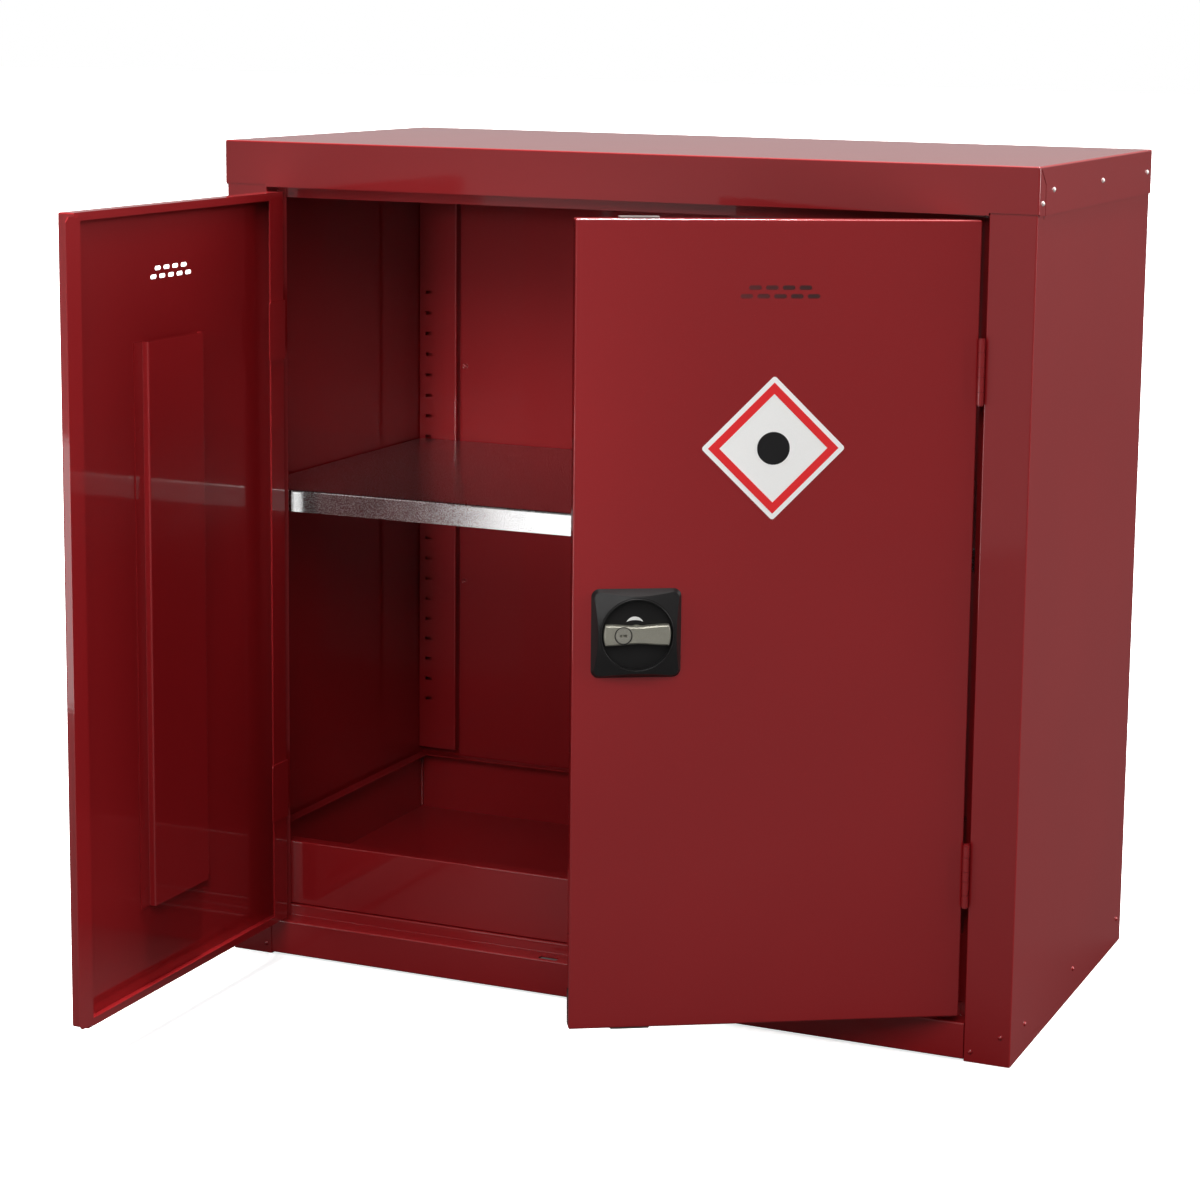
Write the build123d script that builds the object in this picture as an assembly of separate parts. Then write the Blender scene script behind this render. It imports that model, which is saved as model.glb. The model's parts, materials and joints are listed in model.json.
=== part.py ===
"""Flammable storage cabinet: folded sheet-steel carcass, sump tray, shelf and two hinged doors.

Millimetres. Origin on the floor under the middle of the carcass, X to the right, Y to the
back, Z up. The doors are drawn closed and then swung on their hinge pins to the open pose.
"""
from build123d import *
from math import asin, cos, radians, sin
import os

# --- overall sizes ---------------------------------------------------------------------------
HALF_W = 450.0  # cap, to either side
HALF_D = 230.0  # cap, to front and back
HEIGHT = 900.0
SHEET = 1.2
FIT = 0.3  # gap between separate sheets
BEND = 1.8  # outside radius of a visible fold

# --- carcass ---------------------------------------------------------------------------------
BODY_X = 448.5  # outer face of a side panel
BODY_Y = 228.5  # outer face of a stile, and of the rear return
STILE_X = 400.0  # edge of the door opening
STOP_Y = -205.0  # front face of the door stops
STOP_X = 389.5  # inner edge of a side stop
REAR_RETURN = 20.0
CAP_DROP_SIDE = 852.0
CAP_DROP_FRONT = 854.0
OPENING_TOP = 851.5
HEADER_STOP = 839.5
PLINTH_LOW = 1.5
PLINTH_TOP = 39.5
FLOOR_TOP = 52.0
FLOOR_LIP = 31.0
FRAME_LEG = 20.0
PAN_X = 391.5
PAN_Y = 217.0
PAN_LOW = 60.0
PAN_HIGH = 850.0
TAB_WRAP = 23.0  # the cap's front tab on the side

# --- fixings ---------------------------------------------------------------------------------
RIVET_R = 2.7
RIVET_SHANK = 1.6
RIVET_RISE = 1.9
CAP_RIVETS = [(-218.5, 864.2), (-179.0, 875.8), (13.6, 875.8), (209.0, 875.8)]  # Y, Z on a side
SIDE_RIVETS = [(-176.7, 29.4), (13.9, 29.4), (206.0, 29.4)]  # Y, Z on a side
STILE_RIVETS = [(438.0, 30.1), (407.0, 10.7)]  # X, Z on a stile
WALL_HOLE_R = 3.0
WALL_HOLE_X = 385.0
WALL_HOLE_Z = (345.0, 612.0)

# --- uprights, shelf and tray ----------------------------------------------------------------
UPRIGHT_LOW = 130.0
UPRIGHT_HIGH = 845.0
REAR_UPRIGHT = (396.0, 447.0)
REAR_UPRIGHT_Y = (214.6, 225.0)
FRONT_UPRIGHT = (412.0, 446.9)
FRONT_UPRIGHT_Y = (-226.8, -190.0)
SLOT_X = 433.5
SLOT_W, SLOT_H = 9.0, 4.0
SLOT_FIRST, SLOT_PITCH, SLOT_COUNT = 192.3, 25.4, 21
CLIP_SLOT = 12  # slot that holds the shelf clips
SHELF_TOP, SHELF_LIP, SHELF_SHEET = 520.0, 24.0, 1.0
SHELF_X = 444.0
SHELF_Y = (-201.0, 213.0)
SHELF_NOTCH = (408.0, -186.0)
TRAY_X = 442.7
TRAY_Y = (-203.4, 214.2)
TRAY_RIM = 124.5
TRAY_LIP = 14.0

# --- doors -----------------------------------------------------------------------------------
DOOR_EDGE = 396.5  # hinge-side edge of a door
DOOR_MEET = 2.0  # free edge of a door
DOOR_LOW, DOOR_HIGH = 47.0, 847.0
DOOR_FACE = -230.0
RIGHT_DEEP, LEFT_DEEP = 17.0, 18.0
HINGE_LIP, END_LIP, FREE_LIP = 27.0, 8.0, 10.0
CLOSING_FLANGE, FLANGE_CHAMFER = 15.0, 5.0
LEFT_OPEN, RIGHT_OPEN = 89.5, 30.6  # degrees from closed
PIN_X, PIN_Y, PIN_R = 398.3, -234.0, 2.0
HINGE_RUN = 0.05
KNUCKLE_R = 3.5
KNUCKLES = (12.5, 14.5, 10.0, 14.5, 12.5)
KNUCKLE_GAP = 0.4
HINGE_Z = (194.0, 700.0)
LEAF_REACH = 365.4
VENT_W, VENT_H, VENT_PITCH, VENT_X = 12.3, 4.3, 16.35, 200.0
VENT_ROWS = [(773.4, 5), (781.7, 4)]
RIB_X, RIB_HALF, RIB_RISE, RIB_FLANGE = 195.0, 52.0, 8.0, 16.0
RIB_Z = (131.0, 711.0)

# --- label -----------------------------------------------------------------------------------
LABEL_X, LABEL_Z = 196.0, 626.2
LABEL_SIDE = 100.0
BAND_OUT, BAND_IN, MARK_R = 64.0, 53.0, 16.0
LABEL_THICK, PRINT_THICK = 0.4, 0.25

# --- lock ------------------------------------------------------------------------------------
LOCK_X, LOCK_Z = 64.5, 446.0
PLATE_HALF, PLATE_TOP_HALF, PLATE_RISE = 44.0, 38.0, 11.5
DISH_R, DISH_FLOOR = 35.0, -233.0
BAR_R, BAR_HALF, BAR_WAIST = 32.6, 10.0, 8.3
BAR_FACE, BAR_BACK = -242.5, -234.0
HUB_R, HUB_RUN = 9.0, 0.08
KEY_X, KEY_R = -13.7, 7.9
SPINDLE = 8.0
CAM_R, CAM_Y = 13.5, (-226.5, -223.7)
PIN_REACH, DRIVE_PIN_R = 9.9, 2.5
ROD_Y = (-222.5, -219.5)
ROD_HALF = 8.0
ROD_TOP, ROD_BOTTOM = 849.0, 45.0
CASE_HALF_X, CASE_HALF_Z = 24.0, 30.0
CASE_PLATE_Y = (-228.5, -227.0)
CASE_BACK = -214.5
SCREW_OFF, SCREW_R, SCREW_HEAD = 30.0, 2.0, 3.5
SLOT_HALF_X, SLOT_HALF_Y, ROD_SLOT_Y = 10.8, 4.2, -221.0
GUIDE_HALF_X, GUIDE_HALF_Y = 14.7, 4.2
STRAP_Z = (250.0, 640.0)


def slab(x, y, z):
    """Block between the low and high faces given for each axis."""
    size = [high - low for low, high in (x, y, z)]
    middle = [(high + low) / 2 for low, high in (x, y, z)]
    return Pos(*middle) * Box(*size)


def rod(point, direction, radius, length):
    """Cylinder that starts at point and runs along direction."""
    return extrude(Plane(origin=point, z_dir=direction) * Circle(radius), length)


def facing_front(point):
    """Plane that looks to the front, its X to the right and its Y up."""
    return Plane(origin=point, x_dir=(1, 0, 0), z_dir=(0, -1, 0))


def mirrored(shape):
    """The same piece on the other side of the cabinet."""
    return mirror(shape, Plane.YZ)


def folded(points, low, high, radius=BEND - SHEET / 2):
    """Upright sheet folded along the centre line given in plan."""
    return Pos(0, 0, low) * extrude(trace(FilletPolyline(*points, radius=radius), SHEET), high - low)


def save(name, *shapes):
    """Writes one node, of one or more solids."""
    solids = [solid for shape in shapes for solid in shape.solids()]
    whole = solids[0] if len(solids) == 1 else Compound(children=solids)
    export_step(whole, f"parts/{name}.step")


# --- rivets and their holes ------------------------------------------------------------------
def rivet(point, direction, grip):
    """Domed head outside, shank through the sheets, and a set tail inside, turned in one."""
    dome_r = (RIVET_R**2 + RIVET_RISE**2) / (2 * RIVET_RISE)
    half_turn = asin(RIVET_R / dome_r) / 2
    crest = (dome_r * sin(half_turn), RIVET_RISE - dome_r * (1 - cos(half_turn)))
    tail_r, tail_top, tail_end = RIVET_R - 0.7, -grip - 0.05, -grip - 2.0
    profile = ThreePointArc((0, RIVET_RISE), crest, (RIVET_R, 0)) + Polyline(
        (RIVET_R, 0),
        (RIVET_SHANK, 0),
        (RIVET_SHANK, tail_top),
        (tail_r, tail_top),
        (tail_r, tail_end),
        (0, tail_end),
        (0, RIVET_RISE),
    )
    body = revolve(Plane.XZ * make_face(profile), Axis.Z)
    return Plane(origin=point, z_dir=direction).location * body


def rivet_hole(point, direction):
    """Drilling for one rivet, from the outer face inwards."""
    inward = Vector(*direction) * -1
    start = Vector(*point) - inward
    return rod(start, inward, RIVET_SHANK + 0.05, 5)


def side_rivet_points(rows, x):
    """Seats of a row of rivets on the right-hand side face."""
    return [(x, y, z) for y, z in rows]


def cap_rivets():
    """Rivets through the cap's side flanges into both side panels."""
    right = [rivet(p, (1, 0, 0), 2 * SHEET + FIT) for p in side_rivet_points(CAP_RIVETS, HALF_W)]
    return right + [mirrored(r) for r in right]


def base_rivets():
    """Painted rivets low on the side panels and stiles."""
    right = [rivet(p, (1, 0, 0), SHEET) for p in side_rivet_points(SIDE_RIVETS, BODY_X)]
    right += [rivet((x, -BODY_Y, z), (0, -1, 0), SHEET) for x, z in STILE_RIVETS]
    return right + [mirrored(r) for r in right]


# --- carcass ---------------------------------------------------------------------------------
def cap_slit():
    """Corner slit between the cap's front tab and its side flange."""
    half = 0.8
    run = Polyline((-224.3, 896.2), (-208.4, 882.1), (-HALF_D + TAB_WRAP, CAP_DROP_SIDE - 5))
    face = Plane.YZ * trace(run, 2 * half)
    return Pos(HALF_W - 5, 0, 0) * extrude(face, 10)


def top_cap():
    """Pan turned over the carcass, with its front flange wrapped round onto the sides."""
    block = slab((-HALF_W, HALF_W), (-HALF_D, HALF_D), (OPENING_TOP, HEIGHT))
    block = fillet(block.edges().filter_by(Axis.Z), BEND)
    block = fillet(block.faces().sort_by(Axis.Z)[-1].edges(), BEND)
    inner_x, inner_y = HALF_W - SHEET, HALF_D - SHEET
    pan = block - slab((-inner_x, inner_x), (-inner_y, inner_y), (0, HEIGHT - SHEET))
    pan -= slab((-HALF_W - 1, HALF_W + 1), (-HALF_D + 3, HALF_D + 1), (0, CAP_DROP_SIDE))
    for low, high in ((-HALF_W - 1, -STILE_X), (STILE_X, HALF_W + 1)):
        pan -= slab((low, high), (-HALF_D - 1, -HALF_D + 3), (0, CAP_DROP_FRONT))
    slit = cap_slit()
    pan -= slit
    pan -= mirrored(slit)
    for point in side_rivet_points(CAP_RIVETS, HALF_W):
        hole = rivet_hole(point, (1, 0, 0))
        pan -= hole
        pan -= mirrored(hole)
    return pan


def side_panel():
    """Right side: rear return, side wall, front stile, opening return and door stop, in one."""
    half = SHEET / 2
    wall_x, front_y = BODY_X - half, BODY_Y - half
    plan = [
        (BODY_X - REAR_RETURN, front_y),
        (wall_x, front_y),
        (wall_x, -front_y),
        (STILE_X + half, -front_y),
        (STILE_X + half, STOP_Y + half),
        (STOP_X, STOP_Y + half),
    ]
    panel = folded(plan, 0, HEIGHT - SHEET - FIT)
    for point in side_rivet_points(CAP_RIVETS, HALF_W) + side_rivet_points(SIDE_RIVETS, BODY_X):
        panel -= rivet_hole(point, (1, 0, 0))
    for x, z in STILE_RIVETS:
        panel -= rivet_hole((x, -BODY_Y, z), (0, -1, 0))
    return panel


def back_panel():
    """Back sheet pressed forward into a shallow pan, with four holes to fix it to a wall."""
    rim_y = BODY_Y - SHEET - FIT
    rim = slab((-447, 447), (rim_y - SHEET, rim_y), (PLINTH_LOW, HEIGHT - SHEET - FIT))
    raised = slab((-PAN_X, PAN_X), (PAN_Y, rim_y), (PAN_LOW, PAN_HIGH))
    raised = fillet(raised.edges().filter_by(Axis.Z).sort_by(Axis.Y)[:2], BEND)
    hollow = slab(
        (-PAN_X + SHEET, PAN_X - SHEET),
        (PAN_Y + SHEET, rim_y + 1),
        (PAN_LOW + SHEET, PAN_HIGH - SHEET),
    )
    panel = rim + raised - hollow
    for x in (-WALL_HOLE_X, WALL_HOLE_X):
        for z in WALL_HOLE_Z:
            panel -= rod((x, PAN_Y - 1, z), (0, 1, 0), WALL_HOLE_R, 5)
    return panel


def rod_slots(low):
    """Cutter for the two rod slots through a ledge whose underside is near low."""
    cutter = slab((-SLOT_HALF_X, SLOT_HALF_X), (-SLOT_HALF_Y, SLOT_HALF_Y), (low - 2, low + 4))
    cutter = fillet(cutter.edges().filter_by(Axis.Z), 2)
    return [Pos(x, ROD_SLOT_Y, 0) * cutter for x in (-LOCK_X, LOCK_X)]


def header_rail():
    """Rail over the doors: front wall behind the cap, ledge with rod slots, stop lip."""
    half = SHEET / 2
    section = FilletPolyline(
        (-BODY_Y + half, 890),
        (-BODY_Y + half, OPENING_TOP + half),
        (STOP_Y + half, OPENING_TOP + half),
        (STOP_Y + half, HEADER_STOP),
        radius=BEND - half,
    )
    rail = extrude(Plane.YZ * trace(section, SHEET), STILE_X - FIT, both=True)
    for low, high in ((-STILE_X, -STOP_X + FIT), (STOP_X - FIT, STILE_X)):
        rail -= slab((low, high), (STOP_Y - FIT, STOP_Y + 2), (HEADER_STOP - 1, OPENING_TOP + 2))
    for slot in rod_slots(OPENING_TOP):
        rail -= slot
    return rail


def base_panel():
    """Plinth, ledge with rod slots, riser and floor, with a lip turned down behind."""
    half = SHEET / 2
    section = FilletPolyline(
        (-BODY_Y + 18, PLINTH_LOW + half),
        (-BODY_Y + half, PLINTH_LOW + half),
        (-BODY_Y + half, PLINTH_TOP - half),
        (STOP_Y + half, PLINTH_TOP - half),
        (STOP_Y + half, FLOOR_TOP - half),
        (213.6, FLOOR_TOP - half),
        (213.6, FLOOR_TOP - FLOOR_LIP),
        radius=BEND - half,
    )
    base = extrude(Plane.YZ * trace(section, SHEET), 446.9, both=True)
    for low, high in ((-447, -STILE_X + FIT), (STILE_X - FIT, 447)):
        base -= slab((low, high), (-BODY_Y - 1, STOP_Y - FIT), (0, PLINTH_TOP + 1))
    for low, high in ((-447, -STOP_X + FIT), (STOP_X - FIT, 447)):
        base -= slab((low, high), (STOP_Y - FIT - 1, STOP_Y + SHEET + FIT), (0, FLOOR_TOP + 1))
    for slot in rod_slots(PLINTH_TOP - SHEET):
        base -= slot
    return base


def base_frame():
    """Angle-section ring that carries the floor and stands on the ground."""
    outer = slab((-446.9, 446.9), (STOP_Y + SHEET + FIT, 225), (0, FRAME_LEG))
    ring = outer - slab(
        (-446.9 + SHEET, 446.9 - SHEET), (STOP_Y + FIT + 2 * SHEET, 225 - SHEET), (SHEET, FRAME_LEG + 1)
    )
    ring -= slab((-446.9 + 22, 446.9 - 22), (STOP_Y + 24, 225 - 22), (-1, SHEET + 1))
    for point in side_rivet_points(SIDE_RIVETS, BODY_X):
        inner = rod((point[0] - SHEET + 1, point[1], point[2]), (-1, 0, 0), RIVET_R, 6)
        ring -= inner
        ring -= mirrored(inner)
    return ring


def upright(x, y, face):
    """Slotted channel, its web on the face given and its edges turned towards the wall."""
    low, high = x
    half = SHEET / 2
    web = face + half if face == y[0] else face - half
    far = y[1] if face == y[0] else y[0]
    channel = folded(
        [(low + half, far), (low + half, web), (high - half, web), (high - half, far)],
        UPRIGHT_LOW,
        UPRIGHT_HIGH,
    )
    slot = Pos(SLOT_X, face, 0) * Box(SLOT_W, 6, SLOT_H)
    for number in range(SLOT_COUNT):
        channel -= Pos(0, 0, SLOT_FIRST + number * SLOT_PITCH) * slot
    return channel


def sump_tray():
    """Leak tray with its rim turned inwards."""
    low, high = TRAY_Y
    block = slab((-TRAY_X, TRAY_X), TRAY_Y, (FLOOR_TOP + FIT, TRAY_RIM))
    block = fillet(block.edges().filter_by(Axis.Z), BEND)
    block = fillet(block.faces().sort_by(Axis.Z)[-1].edges(), BEND)
    block = fillet(block.faces().sort_by(Axis.Z)[0].edges(), BEND)
    hollow = slab(
        (-TRAY_X + SHEET, TRAY_X - SHEET),
        (low + SHEET, high - SHEET),
        (FLOOR_TOP + FIT + SHEET, TRAY_RIM - SHEET),
    )
    inset = SHEET + TRAY_LIP
    mouth = slab((-TRAY_X + inset, TRAY_X - inset), (low + inset, high - inset), (60, TRAY_RIM + 1))
    return block - hollow - mouth


def shelf():
    """Galvanised shelf, lips turned down and in, front corners notched round the uprights."""
    low, high = SHELF_Y
    notch_x, notch_y = SHELF_NOTCH
    bottom = SHELF_TOP - SHELF_LIP
    block = slab((-SHELF_X, SHELF_X), SHELF_Y, (bottom, SHELF_TOP))
    for side in ((-SHELF_X - 1, -notch_x), (notch_x, SHELF_X + 1)):
        block -= slab(side, (low - 1, notch_y), (bottom - 1, SHELF_TOP + 1))
    top = block.faces().sort_by(Axis.Z)[-1]
    block = fillet(top.edges().sort_by(Axis.Y)[0], 2.4)
    cut = SHELF_SHEET
    inner = slab((-SHELF_X + cut, SHELF_X - cut), (low + cut, high - cut), (bottom + cut, SHELF_TOP - cut))
    for side in ((-SHELF_X - 1, -notch_x + cut), (notch_x - cut, SHELF_X + 1)):
        inner -= slab(side, (low - 1, notch_y + cut), (bottom - 1, SHELF_TOP + 1))
    nose = inner.faces().sort_by(Axis.Z)[-1].edges().sort_by(Axis.Y)[0]
    inner = fillet(nose, 1.4)
    turn = 13.0
    mouth = slab((-SHELF_X + turn, SHELF_X - turn), (low + turn, high - turn), (bottom - 1, bottom + 2))
    for side in ((-SHELF_X - 1, -notch_x + turn), (notch_x - turn, SHELF_X + 1)):
        mouth -= slab(side, (low - 1, notch_y + turn), (bottom - 2, bottom + 3))
    return block - inner - mouth


def shelf_clips():
    """Four clips, each hooked through a slot with a flat seat under the shelf's lip."""
    slot_z = SLOT_FIRST + CLIP_SLOT * SLOT_PITCH
    seat_top = SHELF_TOP - SHELF_LIP - FIT
    tongue = SLOT_H / 2 - 0.5
    pieces = []
    for face, into in ((REAR_UPRIGHT_Y[0], 1), (FRONT_UPRIGHT_Y[1], -1)):
        def reach(near, far):
            """Y span from the upright's face, away from the wall it leans on."""
            return tuple(sorted((face + into * near, face + into * far)))

        hook = slab((SLOT_X - 3.8, SLOT_X + 3.8), reach(-1.8, SHEET + 1.8), (slot_z - tongue, seat_top))
        hook += slab((SLOT_X - 3.8, SLOT_X + 3.8), reach(SHEET + 0.3, SHEET + 1.8), (slot_z - 8, seat_top))
        seat = slab((SLOT_X - 7, SLOT_X + 7), reach(-16, -0.3), (seat_top - 1.5, seat_top))
        leg = slab((SLOT_X - 7, SLOT_X + 7), reach(-1.8, -0.3), (slot_z - 14, seat_top))
        clip = hook + seat + leg
        pieces += [clip, mirrored(clip)]
    return pieces


# --- hinges ----------------------------------------------------------------------------------
def knuckle_spans(middle):
    """Low and high of each of the five knuckles round one hinge's centre."""
    spans, low = [], middle - sum(KNUCKLES) / 2
    for tall in KNUCKLES:
        spans.append((low, low + tall))
        low += tall
    return spans


def knuckle(low, high, x):
    """One rolled knuckle with the neck that joins it to its leaf."""
    tall = high - low - KNUCKLE_GAP
    middle = (low + high) / 2
    ring = Cylinder(KNUCKLE_R, tall) - Cylinder(PIN_R + HINGE_RUN, tall + 1)
    neck = slab(x, (PIN_Y + 2.5, PIN_Y + KNUCKLE_R + FIT + 0.6), (middle - tall / 2, middle + tall / 2))
    return Pos(PIN_X, PIN_Y, middle) * ring + neck


def frame_leaf(middle):
    """Right-hand leaf on the stile's return: top, middle and bottom knuckles."""
    x = (398.6, 399.8)
    spans = knuckle_spans(middle)
    leaf = slab(x, (PIN_Y + KNUCKLE_R + FIT, -206.5), (spans[0][0] + 0.2, spans[-1][1] - 0.2))
    for low, high in spans[::2]:
        leaf += knuckle(low, high, x)
    return leaf


def door_leaf(middle, back):
    """Right-hand leaf that runs through the gap and folds onto the inside of the door's lip."""
    x = (396.8, 398.0)
    spans = knuckle_spans(middle)
    z = (spans[0][0] + 0.2, spans[-1][1] - 0.2)
    leaf = slab(x, (PIN_Y + KNUCKLE_R + FIT, back + 0.1 + SHEET), z)
    wing = slab((LEAF_REACH, x[1]), (back + 0.1, back + 0.1 + SHEET), z)
    wing = fillet(wing.edges().filter_by(Axis.Y).sort_by(Axis.X)[:2], 4)
    leaf += wing
    for low, high in spans[1::2]:
        leaf += knuckle(low, high, x)
    return leaf


def hinge_pin(middle):
    """Pin with a thin head at each end."""
    tall = sum(KNUCKLES)
    pin = Cylinder(PIN_R, tall + 2)
    for end in (-1, 1):
        head = Pos(0, 0, end * (tall / 2 + 0.5)) * Cylinder(KNUCKLE_R - 0.6, 1.0)
        pin += head
    return Pos(PIN_X, PIN_Y, middle) * pin


# --- doors -----------------------------------------------------------------------------------
def door_skin(deep):
    """Right-hand door pan: face, four walls and the lips turned in behind."""
    back = DOOR_FACE + deep
    x, y, z = (DOOR_MEET, DOOR_EDGE), (DOOR_FACE, back), (DOOR_LOW, DOOR_HIGH)
    pan = slab(x, y, z)
    pan = fillet(pan.edges().filter_by(Axis.Y), BEND)
    pan = fillet(pan.faces().sort_by(Axis.Y)[0].edges(), BEND)
    pan -= slab(
        (x[0] + SHEET, x[1] - SHEET), (y[0] + SHEET, y[1] - SHEET), (z[0] + SHEET, z[1] - SHEET)
    )
    mouth = slab((x[0] + FREE_LIP, x[1] - HINGE_LIP), (back - 3, back + 1), (z[0] + END_LIP, z[1] - END_LIP))
    pan -= mouth
    vent = extrude(Plane.XZ * SlotOverall(VENT_W, VENT_H), 6)
    for row_z, count in VENT_ROWS:
        for number in range(count):
            x_mid = VENT_X + (number - (count - 1) / 2) * VENT_PITCH
            pan -= Pos(x_mid, DOOR_FACE + 3, row_z) * vent
    return pan


def left_door_skin():
    """Left door pan, with the flange on its free edge that closes behind the other door."""
    back = DOOR_FACE + LEFT_DEEP
    pan = mirrored(door_skin(LEFT_DEEP))
    low, high = DOOR_LOW + 3, DOOR_HIGH - 3
    flange = slab((-DOOR_MEET - 9, -DOOR_MEET + CLOSING_FLANGE), (back, back + SHEET), (low, high))
    corners = flange.edges().filter_by(Axis.Y).sort_by(Axis.X)[-2:]
    return pan + chamfer(corners, FLANGE_CHAMFER)


def right_door_skin():
    """Right door pan, cut for the lock's spindle, screws and rods."""
    pan = door_skin(RIGHT_DEEP)
    pan -= rod((LOCK_X, DOOR_FACE - 1, LOCK_Z), (0, 1, 0), HUB_R + 1.5, 4)
    for x in (-SCREW_OFF, SCREW_OFF):
        for z in (-SCREW_OFF, SCREW_OFF):
            pan -= rod((LOCK_X + x, DOOR_FACE - 1, LOCK_Z + z), (0, 1, 0), SCREW_R + 0.3, 4)
    opening = Box(2 * GUIDE_HALF_X + 0.6, 2 * GUIDE_HALF_Y + 0.6, 4)
    for z in (DOOR_LOW, DOOR_HIGH):
        pan -= Pos(LOCK_X, ROD_SLOT_Y, z) * opening
    return pan


def stiffener():
    """Top-hat rib down the inside of the right-hand door."""
    half = SHEET / 2
    inner = DOOR_FACE + SHEET + 0.1 + half
    crest = inner + RIB_RISE - SHEET
    plan = [
        (RIB_X - RIB_HALF - RIB_FLANGE, inner),
        (RIB_X - RIB_HALF, inner),
        (RIB_X - RIB_HALF, crest),
        (RIB_X + RIB_HALF, crest),
        (RIB_X + RIB_HALF, inner),
        (RIB_X + RIB_HALF + RIB_FLANGE, inner),
    ]
    return folded(plan, *RIB_Z)


# --- label -----------------------------------------------------------------------------------
def on_door(sketch, front, thick):
    """Flat piece on the door's face, thick measured back from its front."""
    return extrude(facing_front((LABEL_X, front, LABEL_Z)) * sketch, -thick)


def label_plate():
    """Square plate stood on its corner."""
    plate = fillet(Rectangle(LABEL_SIDE, LABEL_SIDE).vertices(), 3)
    return on_door(Rot(0, 0, 45) * plate, DOOR_FACE - LABEL_THICK - 0.05, LABEL_THICK)


def label_border():
    """Plain diamond band on the plate."""
    side_out, side_in = BAND_OUT * 2**0.5, BAND_IN * 2**0.5
    band = Rectangle(side_out, side_out) - Rectangle(side_in, side_in)
    return on_door(Rot(0, 0, 45) * band, DOOR_FACE - LABEL_THICK - PRINT_THICK - 0.05, PRINT_THICK)


def label_mark():
    """Plain round spot in the middle of the plate."""
    return on_door(Circle(MARK_R), DOOR_FACE - LABEL_THICK - PRINT_THICK - 0.05, PRINT_THICK)


# --- lock ------------------------------------------------------------------------------------
def at_lock(x, y, z):
    """Point given from the lock's axis."""
    return (LOCK_X + x, y, LOCK_Z + z)


def lock_escutcheon():
    """Square plate whose corners fall away from a round rim, with a dish for the handle."""
    rim_y = DOOR_FACE - PLATE_RISE
    base = fillet(Rectangle(2 * PLATE_HALF, 2 * PLATE_HALF).vertices(), 8)
    top = fillet(Rectangle(2 * PLATE_TOP_HALF, 2 * PLATE_TOP_HALF).vertices(), 6)
    low_plane = facing_front(at_lock(0, DOOR_FACE - 0.05, 0))
    high_plane = facing_front(at_lock(0, rim_y, 0))
    block = loft([low_plane * base, high_plane * top])
    cone = loft([low_plane * Circle(68), high_plane * Circle(DISH_R + 2)])
    plate = block & cone
    plate -= rod(at_lock(0, DISH_FLOOR, 0), (0, -1, 0), DISH_R, 20)
    plate -= rod(at_lock(0, DOOR_FACE + 1, 0), (0, -1, 0), HUB_R + HUB_RUN, 10)
    for x in (-SCREW_OFF, SCREW_OFF):
        for z in (-SCREW_OFF, SCREW_OFF):
            plate -= rod(at_lock(x, DOOR_FACE + 1, z), (0, -1, 0), SCREW_R + 0.05, 7.5)
    return plate


def lock_handle():
    """Waisted bar across the dish, bevelled along both long edges, on a round hub."""
    waist = 20.0
    outline = make_face(
        Spline((-BAR_R, BAR_HALF), (-waist, BAR_HALF - 0.3), (0, BAR_WAIST), (waist, BAR_HALF - 0.3), (BAR_R, BAR_HALF))
        + Line((BAR_R, BAR_HALF), (BAR_R, -BAR_HALF))
        + Spline((BAR_R, -BAR_HALF), (waist, -BAR_HALF + 0.3), (0, -BAR_WAIST), (-waist, -BAR_HALF + 0.3), (-BAR_R, -BAR_HALF))
        + Line((-BAR_R, -BAR_HALF), (-BAR_R, BAR_HALF))
    )
    front = facing_front(at_lock(0, BAR_FACE, 0))
    bar = extrude(front * outline, BAR_FACE - BAR_BACK)
    bar &= rod(at_lock(0, BAR_BACK, 0), (0, -1, 0), BAR_R, 20)
    face_edges = bar.faces().sort_by(Axis.Y)[0].edges()
    bar = chamfer(face_edges, 1.4)
    bar += rod(at_lock(0, BAR_BACK - 1, 0), (0, 1, 0), HUB_R, 7)
    bar -= rod(at_lock(KEY_X, BAR_FACE - 1, 0), (0, 1, 0), KEY_R + HUB_RUN, 8.5)
    bar -= slab(
        (LOCK_X - SPINDLE / 2 - 0.1, LOCK_X + SPINDLE / 2 + 0.1),
        (BAR_BACK - 2, -225),
        (LOCK_Z - SPINDLE / 2 - 0.1, LOCK_Z + SPINDLE / 2 + 0.1),
    )
    return bar


def lock_spindle():
    """Square bar from the handle's hub to the cam."""
    half = SPINDLE / 2
    return slab((LOCK_X - half, LOCK_X + half), (BAR_BACK - 1.5, -223.3), (LOCK_Z - half, LOCK_Z + half))


def key_plug():
    """Key cylinder face with its keyway."""
    plug = rod(at_lock(KEY_X, BAR_FACE - 0.4, 0), (0, 1, 0), KEY_R, 7.4)
    plug = chamfer(plug.faces().sort_by(Axis.Y)[0].edges(), 0.5)
    keyway = facing_front(at_lock(KEY_X, BAR_FACE - 1, 0)) * SlotOverall(7.0, 2.4)
    return plug - extrude(keyway, -5)


def lock_indicator():
    """Crescent inset in the dish above the handle."""
    wide, rise = 16.0, 5.0
    chord = ThreePointArc((-wide / 2, 0), (0, rise - 3.4), (wide / 2, 0))
    crown = ThreePointArc((-wide / 2, 0), (0, rise), (wide / 2, 0))
    plane = facing_front(at_lock(-1.7, DISH_FLOOR, 12.0))
    return extrude(plane * make_face(chord + crown), 0.5)


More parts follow.
